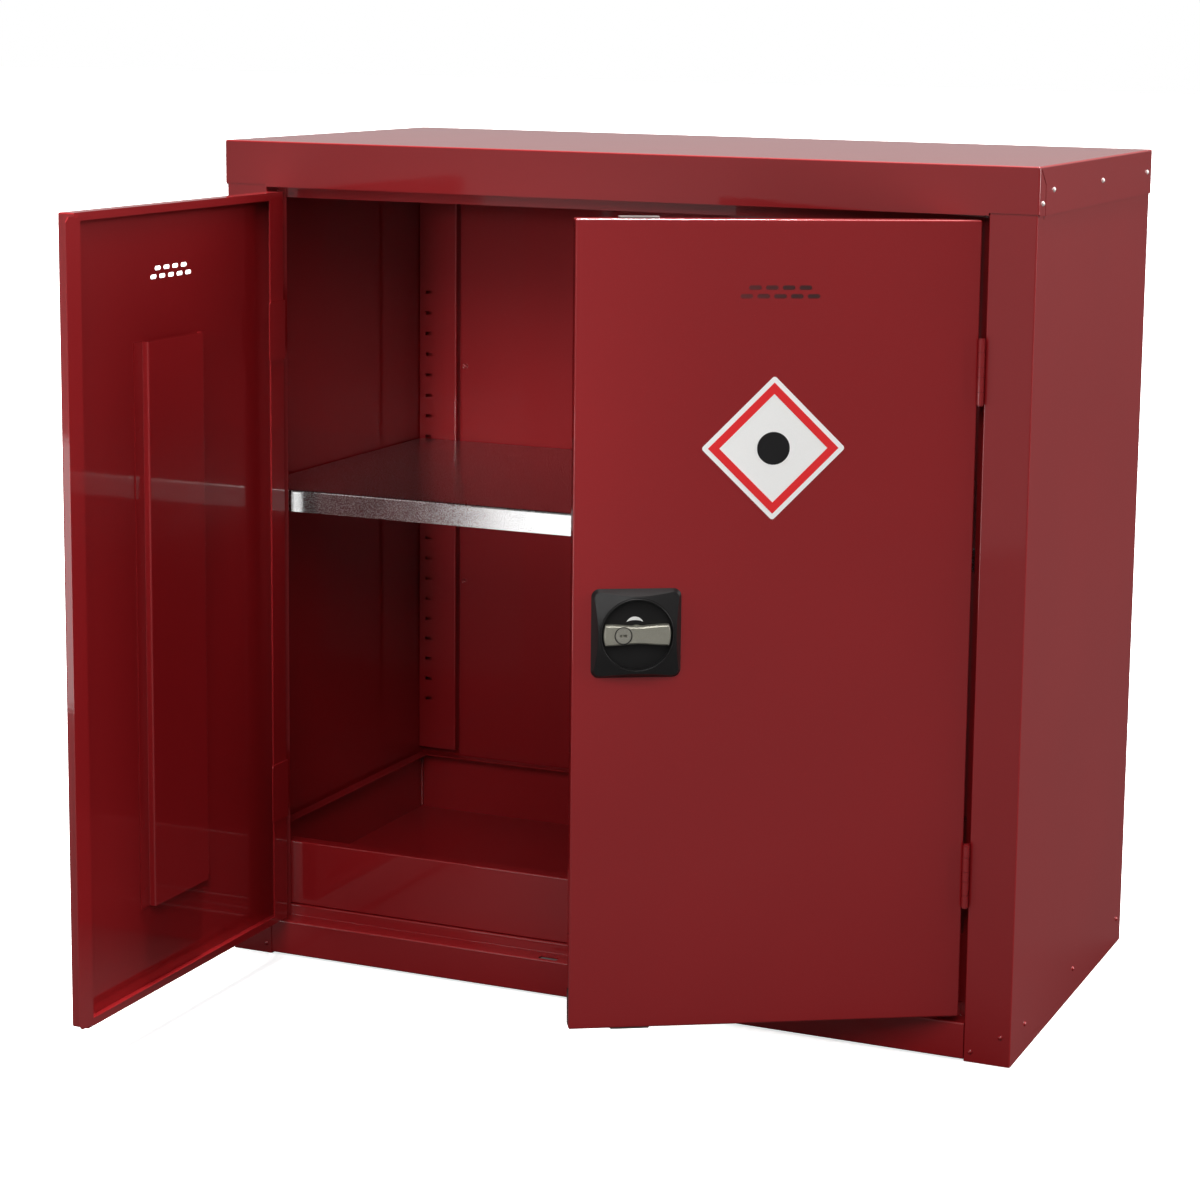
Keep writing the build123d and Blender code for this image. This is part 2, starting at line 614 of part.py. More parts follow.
def lock_case():
    """Cover over the cam, folded from a plate that the four screws hold to the door."""
    x, z = (LOCK_X - CASE_HALF_X, LOCK_X + CASE_HALF_X), (LOCK_Z - CASE_HALF_Z, LOCK_Z + CASE_HALF_Z)
    wide = SCREW_OFF + 7
    plate = slab((LOCK_X - wide, LOCK_X + wide), CASE_PLATE_Y, (LOCK_Z - wide, LOCK_Z + wide))
    plate = fillet(plate.edges().filter_by(Axis.Y), 5)
    cover = slab(x, (CASE_PLATE_Y[1], CASE_BACK), z)
    cover -= slab(
        (x[0] + 1.5, x[1] - 1.5), (CASE_PLATE_Y[1] - 1, CASE_BACK - 1.5), (z[0] + 1.5, z[1] - 1.5)
    )
    case = plate + cover
    case -= slab((LOCK_X - 9.5, LOCK_X + 9.5), (-224, CASE_BACK - 1.5), (z[0] - 1, z[1] + 1))
    case -= rod(at_lock(0, CASE_PLATE_Y[0] - 1, 0), (0, 1, 0), HUB_R + 1.5, 4)
    for dx in (-SCREW_OFF, SCREW_OFF):
        for dz in (-SCREW_OFF, SCREW_OFF):
            case -= rod(at_lock(dx, CASE_PLATE_Y[0] - 1, dz), (0, 1, 0), SCREW_R + 0.2, 4)
    return case


def lock_screws():
    """Four pan-head screws through the case and the skin into the escutcheon."""
    screws = []
    for x in (-SCREW_OFF, SCREW_OFF):
        for z in (-SCREW_OFF, SCREW_OFF):
            shank = rod(at_lock(x, CASE_PLATE_Y[1], z), (0, -1, 0), SCREW_R, 8.8)
            head = rod(at_lock(x, CASE_PLATE_Y[1], z), (0, 1, 0), SCREW_HEAD, 2.2)
            head = fillet(head.faces().sort_by(Axis.Y)[-1].edges(), 1.0)
            screws.append(shank + head)
    return screws


def lock_cam():
    """Disc on the spindle with two pins that drive the rods."""
    disc = rod(at_lock(0, CAM_Y[0], 0), (0, 1, 0), CAM_R, CAM_Y[1] - CAM_Y[0])
    reach = PIN_REACH * cos(radians(45))
    for side in (-1, 1):
        disc += rod(at_lock(side * reach, CAM_Y[1] - 1, side * reach), (0, 1, 0), DRIVE_PIN_R, 5.3)
    hole = SPINDLE / 2 + 0.1
    return disc - slab((LOCK_X - hole, LOCK_X + hole), (-228, -222), (LOCK_Z - hole, LOCK_Z + hole))


def locking_rod(tip, away):
    """Flat rod with a side arm slotted for its drive pin: away is 1 for the upper, -1 for the lower."""
    reach = PIN_REACH * sin(radians(45))

    def span(near, far):
        """Z span measured from the lock's axis towards the rod's tip."""
        return tuple(sorted((LOCK_Z + away * near, LOCK_Z + away * far)))

    def across(near, far):
        """X span measured towards the side that the rod's pin is on."""
        return tuple(sorted((LOCK_X - away * near, LOCK_X - away * far)))

    bar = slab((LOCK_X - ROD_HALF, LOCK_X + ROD_HALF), ROD_Y, tuple(sorted((LOCK_Z + away * 15, tip))))
    bar += slab(across(1, 8), ROD_Y, span(-13, 15.5))
    bar += slab(across(1, 15.5), ROD_Y, span(-13, 0))
    slot = slab(across(3.9, 13.0), (ROD_Y[0] - 1, ROD_Y[1] + 1), span(-reach - 3.1, -reach + 3.1))
    return bar - fillet(slot.edges().filter_by(Axis.Y), 2.4)


def rod_guide(high):
    """Plastic guide in the door's end wall, its flange on the outside."""
    if high:
        body, flange = (DOOR_HIGH - 6, DOOR_HIGH + 0.3), (DOOR_HIGH + 0.05, DOOR_HIGH + 2)
    else:
        body, flange = (DOOR_LOW - 0.3, DOOR_LOW + 6), (DOOR_LOW - 2, DOOR_LOW - 0.05)
    x_mid = LOCK_X - 1.0
    guide = slab((LOCK_X - GUIDE_HALF_X, LOCK_X + GUIDE_HALF_X), (ROD_SLOT_Y - GUIDE_HALF_Y, ROD_SLOT_Y + GUIDE_HALF_Y), body)
    plate = slab((x_mid - 19.5, x_mid + 19.5), (ROD_SLOT_Y - 6, ROD_SLOT_Y + 6), flange)
    guide += fillet(plate.edges().filter_by(Axis.Z), 2)
    gap = 0.4
    return guide - slab(
        (LOCK_X - ROD_HALF - gap, LOCK_X + ROD_HALF + gap), (ROD_Y[0] - gap, ROD_Y[1] + gap), (body[0] - 9, body[1] + 9)
    )


def rod_strap(middle):
    """Strap that holds a rod to the inside of the door."""
    inner, crest = -228.6 + SHEET / 2, ROD_Y[1] + 0.6 + SHEET / 2
    plan = [
        (LOCK_X - 26, inner),
        (LOCK_X - 11, inner),
        (LOCK_X - 11, crest),
        (LOCK_X + 11, crest),
        (LOCK_X + 11, inner),
        (LOCK_X + 26, inner),
    ]
    return folded(plan, middle - 9, middle + 9)


# --- assembly --------------------------------------------------------------------------------
def swung(shape, pin_x, angle):
    """A door's piece turned about its hinge pins."""
    return Pos(pin_x, PIN_Y, 0) * Rot(0, 0, angle) * Pos(-pin_x, -PIN_Y, 0) * shape


def save_left(name, *shapes):
    """Writes a piece of the left door in its open pose."""
    save(name, *[swung(shape, -PIN_X, -LEFT_OPEN) for shape in shapes])


def save_right(name, *shapes):
    """Writes a piece of the right door in its open pose."""
    save(name, *[swung(shape, PIN_X, RIGHT_OPEN) for shape in shapes])


def save_carcass():
    """Everything that stays still."""
    side = side_panel()
    rear = upright(REAR_UPRIGHT, REAR_UPRIGHT_Y, REAR_UPRIGHT_Y[0])
    front = upright(FRONT_UPRIGHT, FRONT_UPRIGHT_Y, FRONT_UPRIGHT_Y[1])
    leaves = [frame_leaf(z) for z in HINGE_Z]
    pins = [hinge_pin(z) for z in HINGE_Z]
    save("top_cap", top_cap())
    save("cap_rivets", *cap_rivets())
    save("right_side_panel", side)
    save("left_side_panel", mirrored(side))
    save("back_panel", back_panel())
    save("header_rail", header_rail())
    save("base_panel", base_panel())
    save("base_frame", base_frame())
    save("base_rivets", *base_rivets())
    save("right_rear_upright", rear)
    save("left_rear_upright", mirrored(rear))
    save("right_front_upright", front)
    save("left_front_upright", mirrored(front))
    save("sump_tray", sump_tray())
    save("shelf_clips", *shelf_clips())
    save("right_hinge_frame_leaves", *leaves)
    save("left_hinge_frame_leaves", *[mirrored(leaf) for leaf in leaves])
    save("right_hinge_pins", *pins)
    save("left_hinge_pins", *[mirrored(pin) for pin in pins])


def save_left_door():
    """The door with the closing flange."""
    back = DOOR_FACE + LEFT_DEEP
    save_left("left_door_skin", left_door_skin())
    save_left("left_door_stiffener", mirrored(stiffener()))
    save_left("left_hinge_door_leaves", *[mirrored(door_leaf(z, back)) for z in HINGE_Z])


def save_right_door():
    """The door with the lock, its rods and the label."""
    save_right("right_door_skin", right_door_skin())
    save_right("right_door_stiffener", stiffener())
    save_right("right_hinge_door_leaves", *[door_leaf(z, DOOR_FACE + RIGHT_DEEP) for z in HINGE_Z])
    save_right("label_plate", label_plate())
    save_right("label_border", label_border())
    save_right("label_mark", label_mark())
    save_right("lock_escutcheon", lock_escutcheon())
    save_right("lock_case", lock_case())
    save_right("lock_screws", *lock_screws())
    save_right("lock_indicator", lock_indicator())
    save_right("lock_handle", lock_handle())
    save_right("lock_spindle", lock_spindle())
    save_right("lock_cam", lock_cam())
    save_right("key_plug", key_plug())
    save_right("upper_rod", locking_rod(ROD_TOP, 1))
    save_right("lower_rod", locking_rod(ROD_BOTTOM, -1))
    save_right("upper_rod_guide", rod_guide(True))
    save_right("lower_rod_guide", rod_guide(False))
    save_right("rod_straps", *[rod_strap(z) for z in STRAP_Z])


os.makedirs("parts", exist_ok=True)
save_carcass()
save("shelf", shelf())
save_left_door()
save_right_door()
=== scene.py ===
"""Looks for the flammable storage cabinet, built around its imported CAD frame. Metres, Z up."""

import json
from math import cos, pi, radians, sin

import bmesh
import bpy
from mathutils import Matrix, Vector


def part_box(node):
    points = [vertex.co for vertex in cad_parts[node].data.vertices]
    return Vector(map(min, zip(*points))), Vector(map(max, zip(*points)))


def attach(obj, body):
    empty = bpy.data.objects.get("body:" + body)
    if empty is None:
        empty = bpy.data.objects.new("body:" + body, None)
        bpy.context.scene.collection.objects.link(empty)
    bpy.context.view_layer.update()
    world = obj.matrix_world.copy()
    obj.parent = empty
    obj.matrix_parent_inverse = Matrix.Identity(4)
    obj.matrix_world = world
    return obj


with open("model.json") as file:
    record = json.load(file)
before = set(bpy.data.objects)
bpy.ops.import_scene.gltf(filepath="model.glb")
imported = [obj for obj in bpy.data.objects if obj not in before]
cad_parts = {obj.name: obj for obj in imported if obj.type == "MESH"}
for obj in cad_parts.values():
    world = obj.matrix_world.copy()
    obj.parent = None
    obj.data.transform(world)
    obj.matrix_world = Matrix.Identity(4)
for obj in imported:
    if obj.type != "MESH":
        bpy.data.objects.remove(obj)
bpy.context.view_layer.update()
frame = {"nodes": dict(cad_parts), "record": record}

# Places on the cabinet, with the doors shut where a piece rides on a door.
PIN_X, PIN_Y = 0.3983, -0.234
LEFT_OPEN, RIGHT_OPEN = -89.5, 30.6  # degrees from shut
DOOR_FACE = -0.23
RIB_X, RIB_WELD, RIB_WELDS = 0.195, 0.061, 9
RIB_Z = (0.131, 0.711)
RIB_WELD_INSET = 0.02
LOCK_X, LOCK_Z, KEY_OFF, BAR_FACE = 0.0645, 0.446, -0.0137, -0.2425
RIM_RISE, RIM_RADIUS, RIM_TUBE = 0.0115, 0.0354, 0.0007
SEAL_RADIUS, SEAL_TUBE = 0.0083, 0.00042
ROD_X, ROD_Y, ROD_SLOT = 0.0645, -0.221, (0.0108, 0.0042)
POCKET_CORNER = 0.002
LEDGE_UNDER = 0.0383
SHEET = 0.0012

# Levels of the lights and of the surroundings.

KEY_RADIANCE, SIDE_RADIANCE, FRONT_RADIANCE = 4.9, 8.3, 0.2
OVERHEAD_STRENGTH = 10.5
INSIDE_POWER = 215.0
LOW_RADIANCE = 3.2
ROOM_LEVEL, REAR_LEVEL = 0.11, 0.37
REAR_GLOW = (-0.3, 0.95, 0.0)
FLOOR_FRONT, FLOOR_REAR, FLOOR_GLOW = 0.055, 0.022, 0.7


# --- stage -----------------------------------------------------------------------------------
def linear(red, green, blue):
    """Linear colour from the usual 0 to 255 display values."""
    def one(value):
        value /= 255
        return value / 12.92 if value <= 0.04045 else ((value + 0.055) / 1.055) ** 2.4

    return (one(red), one(green), one(blue), 1.0)


def add_camera():
    """Camera at the angle the cabinet is seen from."""
    data = bpy.data.cameras.new("camera")
    data.lens, data.sensor_width = 86.73, 36.0
    data.shift_x, data.shift_y = -0.0469, -0.1131
    data.clip_end = 100
    camera = bpy.data.objects.new("camera", data)
    camera.location = (1.1841, -2.9249, 1.0365)
    camera.rotation_euler = (radians(81.2), radians(-0.774), radians(22.825))
    bpy.context.scene.collection.objects.link(camera)
    bpy.context.scene.camera = camera


def add_softbox(name, place, target, size, radiance):
    """Rectangular studio light turned to its target, with the brightness of its face."""
    data = bpy.data.lights.new(name, "AREA")
    data.shape, data.size, data.size_y = "RECTANGLE", *size
    data.energy = radiance * pi * size[0] * size[1]
    light = bpy.data.objects.new(name, data)
    light.location = place
    aim = Vector(target) - Vector(place)
    light.rotation_euler = aim.to_track_quat("-Z", "Y").to_euler()
    bpy.context.scene.collection.objects.link(light)


def add_sun(name, source, strength, spread):
    """Even light from one direction, softened by its spread in degrees."""
    data = bpy.data.lights.new(name, "SUN")
    data.energy, data.angle = strength, radians(spread)
    sun = bpy.data.objects.new(name, data)
    sun.rotation_euler = Vector(source).to_track_quat("Z", "Y").to_euler()
    bpy.context.scene.collection.objects.link(sun)


def add_spot(name, place, target, cone, power):
    """Soft-edged lamp with a cone given in degrees."""
    data = bpy.data.lights.new(name, "SPOT")
    data.energy, data.spot_size, data.spot_blend, data.shadow_soft_size = power, radians(cone), 1.0, 0.25
    spot = bpy.data.objects.new(name, data)
    spot.location = place
    spot.rotation_euler = (Vector(place) - Vector(target)).to_track_quat("Z", "Y").to_euler()
    bpy.context.scene.collection.objects.link(spot)


def add_world():
    """White backdrop for the camera, a dim room with a paler rear horizon for everything else."""
    world = bpy.data.worlds.new("studio")
    bpy.context.scene.world = world
    world.use_nodes = True
    nodes, links = world.node_tree.nodes, world.node_tree.links
    back = nodes["Background"]
    back.inputs["Color"].default_value = (1, 1, 1, 1)
    toward_rear = nodes.new("ShaderNodeVectorMath")
    toward_rear.operation = "DOT_PRODUCT"
    toward_rear.inputs[1].default_value = REAR_GLOW
    links.new(nodes.new("ShaderNodeTexCoord").outputs["Generated"], toward_rear.inputs[0])
    room = nodes.new("ShaderNodeMapRange")
    room.inputs["From Min"].default_value = 0.2
    room.inputs["To Min"].default_value = ROOM_LEVEL
    room.inputs["To Max"].default_value = REAR_LEVEL
    links.new(toward_rear.outputs["Value"], room.inputs["Value"])
    rays = nodes.new("ShaderNodeLightPath")
    level = nodes.new("ShaderNodeMix")
    level.inputs["B"].default_value = 1.0
    links.new(rays.outputs["Is Camera Ray"], level.inputs["Factor"])
    links.new(room.outputs["Result"], level.inputs["A"])
    links.new(level.outputs["Result"], back.inputs["Strength"])


def add_floor():
    """Plain pale floor, kept dimmer for what it throws back on to the cabinet."""
    mesh = bpy.data.meshes.new("floor")
    half = 40.0
    corners = [(-half, -half, 0), (half, -half, 0), (half, half, 0), (-half, half, 0)]
    mesh.from_pydata(corners, [], [(0, 1, 2, 3)])
    floor = bpy.data.objects.new("floor", mesh)
    floor.location.z = -0.0005
    bpy.context.scene.collection.objects.link(floor)
    pale = bpy.data.materials.new("floor_pale")
    pale.use_nodes = True
    nodes, links = pale.node_tree.nodes, pale.node_tree.links
    shader = nodes["Principled BSDF"]
    shader.inputs["Roughness"].default_value = 0.9
    shader.inputs["Specular IOR Level"].default_value = 0.0
    shader.inputs["Emission Color"].default_value = (1, 1, 1, 1)
    rays = nodes.new("ShaderNodeLightPath")
    mix = nodes.new("ShaderNodeMix")
    mix.data_type = "RGBA"
    spot = nodes.new("ShaderNodeSeparateXYZ")
    links.new(nodes.new("ShaderNodeTexCoord").outputs["Object"], spot.inputs["Vector"])
    bounce = nodes.new("ShaderNodeMapRange")
    bounce.inputs["From Min"].default_value = -0.9
    bounce.inputs["From Max"].default_value = 0.1
    bounce.inputs["To Min"].default_value = FLOOR_FRONT
    bounce.inputs["To Max"].default_value = FLOOR_REAR
    links.new(spot.outputs["Y"], bounce.inputs["Value"])
    links.new(bounce.outputs["Result"], mix.inputs["A"])
    mix.inputs["B"].default_value = (0.7, 0.7, 0.7, 1)
    links.new(rays.outputs["Is Camera Ray"], mix.inputs["Factor"])
    links.new(mix.outputs["Result"], shader.inputs["Base Color"])
    glow = nodes.new("ShaderNodeMapRange")
    glow.inputs["To Max"].default_value = FLOOR_GLOW
    links.new(rays.outputs["Is Camera Ray"], glow.inputs["Value"])
    links.new(glow.outputs["Result"], shader.inputs["Emission Strength"])
    floor.data.materials.append(pale)


def add_stage():
    """Pale floor, pale surroundings and soft lights."""
    bpy.context.scene.view_settings.view_transform = "Standard"
    add_world()
    add_floor()
    add_softbox("key", (0.68, -2.8, 2.58), (0, -0.2, 0.5), (2.2, 2.2), KEY_RADIANCE)
    add_sun("overhead", (0, 0.1, 1), OVERHEAD_STRENGTH, 16)
    add_spot("inside", (0.02, -2.7, 0.92), (-0.27, 0.2, 0.54), 13, INSIDE_POWER)
    add_softbox("side", (3.4, 1.0, 1.6), (0.45, 0, 0.5), (2.2, 2.0), SIDE_RADIANCE)
    add_softbox("low_left", (-1.0, -2.0, 0.21), (-0.1, -0.2, 0.5), (0.8, 0.4), LOW_RADIANCE)
    add_softbox("front_left", (-1.35, -2.2, 0.84), (0.1, 0.4, 0.84), (2.6, 1.6), FRONT_RADIANCE)


# --- materials -------------------------------------------------------------------------------
class Surface:
    """A Principled material with helpers for its procedural detail, in object coordinates."""

    def __init__(self, name, colour, **sockets):
        self.material = bpy.data.materials.new(name)
        self.material.use_nodes = True
        self.tree = self.material.node_tree
        self.shader = self.tree.nodes["Principled BSDF"]
        self.colour = colour
        self.shader.inputs["Base Color"].default_value = colour
        for socket, value in sockets.items():
            self.shader.inputs[socket.replace("_", " ")].default_value = value
        self.place = self.tree.nodes.new("ShaderNodeTexCoord").outputs["Object"]

    def node(self, kind, **inputs):
        """New node with its inputs set from a value or linked from a socket."""
        made = self.tree.nodes.new("ShaderNode" + kind)
        for name, value in inputs.items():
            self.feed(made.inputs[name.replace("_", " ")], value)
        return made

    def feed(self, socket, value):
        """Sets a socket, or links it when the value is an output."""
        if isinstance(value, bpy.types.NodeSocket):
            self.tree.links.new(value, socket)
        else:
            socket.default_value = value

    def stretched(self, scale):
        """Object coordinates scaled along each axis."""
        mapping = self.node("Mapping", Vector=self.place)
        mapping.inputs["Scale"].default_value = scale
        return mapping.outputs["Vector"]

    def noise(self, scale, detail=3.0, rough=0.5, place=None):
        """Noise from 0 to 1."""
        made = self.node("TexNoise", Vector=place or self.place, Scale=scale, Detail=detail, Roughness=rough)
        return made.outputs["Fac"]

    def cells(self, scale, place=None):
        """One random grey for each crystal-like cell."""
        made = self.node("TexVoronoi", Vector=place or self.place, Scale=scale)
        return self.node("RGBToBW", Color=made.outputs["Color"]).outputs["Val"]

    def ranged(self, value, low, high, start=0.0, end=1.0):
        """A value moved from the span start..end to low..high."""
        made = self.node("MapRange", Value=value)
        for name, number in (("From Min", start), ("From Max", end), ("To Min", low), ("To Max", high)):
            made.inputs[name].default_value = number
        return made.outputs["Result"]

    def blend(self, factor, first, second):
        """Colour between two by a factor."""
        made = self.node("Mix")
        made.data_type = "RGBA"
        self.feed(made.inputs["Factor"], factor)
        for socket, value in zip((made.inputs[6], made.inputs[7]), (first, second)):
            self.feed(socket, value)
        return made.outputs[2]

    def bump(self, *layers):
        """Stacks bumps given as (height, distance in metres, strength)."""
        normal = None
        for height, distance, strength in layers:
            made = self.node("Bump", Height=height, Distance=distance, Strength=strength)
            if normal:
                self.feed(made.inputs["Normal"], normal)
            normal = made.outputs["Normal"]
        self.feed(self.shader.inputs["Normal"], normal)
        return normal


def shaded(colour, factor):
    """The colour made lighter or darker."""
    return tuple(min(1.0, channel * factor) for channel in colour[:3]) + (1.0,)


def powder_coat(name, colour):
    """Glossy baked paint: fine orange peel, a breath of unevenness, dust nibs."""
    made = Surface(
        name, colour, Roughness=0.45, Specular_IOR_Level=0.3, Coat_Weight=1.0, Coat_Roughness=0.045
    )
    grain = made.noise(900.0, 2.0)
    tone = made.blend(made.noise(5.0, 2.0), shaded(colour, 0.93), shaded(colour, 1.07))
    tone = made.blend(made.ranged(grain, 0.0, 1.0, 0.66, 0.78), tone, shaded(colour, 1.35))
    made.feed(made.shader.inputs["Base Color"], tone)
    normal = made.bump((made.noise(260.0, 2.0), 0.0004, 0.05), (grain, 0.0001, 0.06))
    made.feed(made.shader.inputs["Coat Normal"], normal)
    return made.material


def galvanised():
    """Bright zinc sheet: fine speckle, faint crystal cells, rolling lines."""
    made = Surface("galvanised", linear(190, 190, 190), Metallic=1.0, Roughness=0.26)
    flakes = made.cells(90.0)
    speckle = made.noise(900.0, 3.0, 0.7)
    rolled = made.noise(1.0, 3.0, place=made.stretched((3, 600, 600)))
    tone = made.blend(flakes, linear(204, 205, 206), linear(228, 228, 228))
    tone = made.blend(made.ranged(speckle, 0, 1, 0.4, 0.62), shaded(linear(210, 210, 210), 0.6), tone)
    made.feed(made.shader.inputs["Base Color"], tone)
    made.feed(made.shader.inputs["Roughness"], made.ranged(speckle, 0.15, 0.34, 0.35, 0.65))
    made.bump((speckle, 0.0002, 0.16), (flakes, 0.0002, 0.03), (rolled, 0.0001, 0.06))
    return made.material


def zinc_plate(name, colour, rough=0.32):
    """Plated small steel parts, with a faint cloudy finish."""
    made = Surface(name, colour, Metallic=1.0, Roughness=rough)
    cloud = made.noise(60.0, 4.0)
    made.feed(made.shader.inputs["Base Color"], made.blend(cloud, shaded(colour, 0.8), shaded(colour, 1.15)))
    made.feed(made.shader.inputs["Roughness"], made.ranged(cloud, rough - 0.08, rough + 0.12))
    made.bump((made.noise(1500.0, 2.0), 0.0001, 0.15))
    return made.material


def satin(name, colour, metal, rough):
    """Satin-plated castings: fine sparkle, soft cloud, tiny pits."""
    made = Surface(name, colour, Metallic=metal, Roughness=rough, IOR=1.6)
    sparkle = made.noise(2600.0, 2.0, 0.7)
    cloud = made.noise(120.0, 3.0)
    tone = made.blend(cloud, shaded(colour, 0.88), shaded(colour, 1.1))
    tone = made.blend(made.ranged(sparkle, 0, 1, 0.4, 0.6), shaded(colour, 0.7), tone)
    made.feed(made.shader.inputs["Base Color"], tone)
    made.feed(made.shader.inputs["Roughness"], made.ranged(sparkle, rough - 0.08, rough + 0.1, 0.3, 0.7))
    made.bump((sparkle, 0.0001, 0.3), (made.noise(900.0, 2.0), 0.0001, 0.2))
    return made.material


def moulded(name, colour, rough):
    """Moulded plastic with a fine even texture."""
    made = Surface(name, colour, Roughness=rough, IOR=1.5, Specular_IOR_Level=0.24)
    fine = made.noise(1600.0, 2.0)
    worn = made.noise(45.0, 4.0)
    made.feed(made.shader.inputs["Base Color"], made.blend(worn, shaded(colour, 0.85), shaded(colour, 1.25)))
    made.feed(made.shader.inputs["Roughness"], made.ranged(worn, rough - 0.05, rough + 0.1))
    made.bump((fine, 0.0002, 0.2), (worn, 0.0003, 0.05))
    return made.material


def printed(name, colour):
    """Printed vinyl: even ink with a slight mottle and a soft sheen."""
    made = Surface(name, colour, Roughness=0.35, IOR=1.45)
    mottle = made.noise(700.0, 3.0)
    tone = made.blend(mottle, shaded(colour, 0.96), shaded(colour, 1.02))
    made.feed(made.shader.inputs["Base Color"], tone)
    made.feed(made.shader.inputs["Roughness"], made.ranged(made.noise(30.0), 0.3, 0.42))
    made.bump((mottle, 0.0001, 0.08))
    return made.material


RED = (0.262, 0.0045, 0.0068, 1.0)


def make_materials():
    """One finished material for each of the record's slots."""
    return {
        "red_powder_coat": powder_coat("red_powder_coat", RED),
        "bright_rivet": satin("bright_rivet", linear(236, 226, 222), 0.35, 0.5),
        "zinc_clip": zinc_plate("zinc_clip", linear(186, 188, 190)),
        "galvanised_sheet": galvanised(),
        "label_white": printed("label_white", linear(250, 249, 247)),
        "label_red": printed("label_red", linear(232, 44, 48)),
        "label_black": printed("label_black", linear(24, 23, 24)),
        "lock_black": moulded("lock_black", linear(27, 26, 26), 0.34),
        "indicator_white": printed("indicator_white", linear(236, 236, 233)),
        "nickel_handle": satin("nickel_handle", linear(176, 173, 159), 0.55, 0.38),
        "nickel_key": satin("nickel_key", linear(176, 173, 161), 0.55, 0.34),
        "zinc_plate": zinc_plate("zinc_plate", linear(160, 162, 165)),
        "guide_grey": moulded("guide_grey", linear(112, 106, 104), 0.45),
    }


def dress_frame(materials):
    """Gives every CAD node the material of its slot."""
    slots = {part["node"]: part["material_slot"] for part in frame["record"]["subparts"]}
    for node, made in frame["nodes"].items():
        made.data.materials.clear()
        made.data.materials.append(materials[slots[node]])


# --- pieces ----------------------------------------------------------------------------------
def place_on_door(side):
    """Turns a right-hand door's closed frame into the open door's place; -1 gives the left door."""
    pin = Vector((side * PIN_X, PIN_Y, 0))
    angle = RIGHT_OPEN if side > 0 else LEFT_OPEN
    return Matrix.Translation(pin) @ Matrix.Rotation(radians(angle), 4, "Z") @ Matrix.Translation(-pin)


def add_piece(name, build, body, slot, matrix=None):
    """New smooth-shaded piece from a function that fills a bmesh, riding on a body."""
    shape = bmesh.new()
    build(shape)
    if matrix:
        shape.transform(matrix)
    bmesh.ops.recalc_face_normals(shape, faces=shape.faces)
    mesh = bpy.data.meshes.new(name)
    shape.to_mesh(mesh)
    shape.free()
    for face in mesh.polygons:
        face.use_smooth = True
    mesh.materials.append(MATERIALS[slot])
    piece = bpy.data.objects.new(name, mesh)
    bpy.context.scene.collection.objects.link(piece)
    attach(piece, body)


def turned(shape, profile, centre, axis, segments=32):
    """Turned solid: profile is (radius, height) along the axis from the centre."""
    spin = Vector(axis).normalized().to_track_quat("Z", "Y")
    rings = []
    for radius, height in profile:
        if radius == 0:
            rings.append([shape.verts.new(Vector(centre) + spin @ Vector((0, 0, height)))])
            continue
        angles = [2 * pi * step / segments for step in range(segments)]
        around = [Vector((radius * cos(angle), radius * sin(angle), height)) for angle in angles]
        rings.append([shape.verts.new(Vector(centre) + spin @ point) for point in around])
    join_rings(shape, rings)


def join_rings(shape, rings):
    """Faces between neighbouring rings; a ring of one point closes to a tip."""
    for first, second in zip(rings, rings[1:]):
        count = max(len(first), len(second))
        for step in range(count):
            after = (step + 1) % count
            corners = [first[step % len(first)], first[after % len(first)]]
            corners += [second[after % len(second)], second[step % len(second)]]
            shape.faces.new(list(dict.fromkeys(corners)))


def ring_profile(radius, tube, steps=12):
    """Closed round section of a ring, for turned()."""
    angles = [2 * pi * step / steps for step in range(steps + 1)]
    return [(radius + tube * cos(angle), tube * sin(angle)) for angle in angles]


def rounded_ring(shape, centre, half_x, half_y, corner, z, steps=4):
    """Ring of points round a level rounded rectangle."""
    points = []
    for turn, (sign_x, sign_y) in enumerate(((1, 1), (-1, 1), (-1, -1), (1, -1))):
        for step in range(steps + 1):
            angle = pi / 2 * (turn + step / steps)
            x = centre[0] + sign_x * (half_x - corner) + corner * cos(angle)
            y = centre[1] + sign_y * (half_y - corner) + corner * sin(angle)
            points.append(shape.verts.new((x, y, z)))
    return points


def wall_hole_plugs(shape):
    """Dished push-in plugs, one in each hole for the wall screws."""
    mount = next(item for item in frame["record"]["mounts"] if item["name"] == "wall_fixing")
    face_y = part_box("back_panel")[0][1]
    across, up = mount["dims"]["spacing_x_mm"] / 2000, mount["dims"]["spacing_y_mm"] / 2000
    middle = mount["pos_m"][2]
    profile = [(0, 0.0016), (0.0016, 0.0014), (0.0024, 0.0006), (0.0029, -0.0004), (0.0036, -0.0005)]
    profile += [(0.0041, -0.0002), (0.0042, -0.00002), (0.0029, -0.00002), (0.0029, 0.0022), (0, 0.0026)]
    for x in (-across, across):
        for z in (middle - up, middle + up):
            turned(shape, profile, (x, face_y, z), (0, 1, 0), 24)


def rod_pockets(shape):
    """Pressed pockets under the rod slots in the base ledge: a lip, a straight wall, a closed foot."""
    profile = [(0.0022, -0.0001), (0.0008, -0.0004), (0.0004, -0.0015), (0.0004, -0.021), (-0.001, -0.0225)]
    for x in (-ROD_X, ROD_X):
        rings = []
        for grow, z in profile:
            half_x, half_y = ROD_SLOT[0] + grow, ROD_SLOT[1] + grow
            rings.append(rounded_ring(shape, (x, ROD_Y), half_x, half_y, POCKET_CORNER, LEDGE_UNDER + z))
        join_rings(shape, rings)
        shape.faces.new(rings[-1])


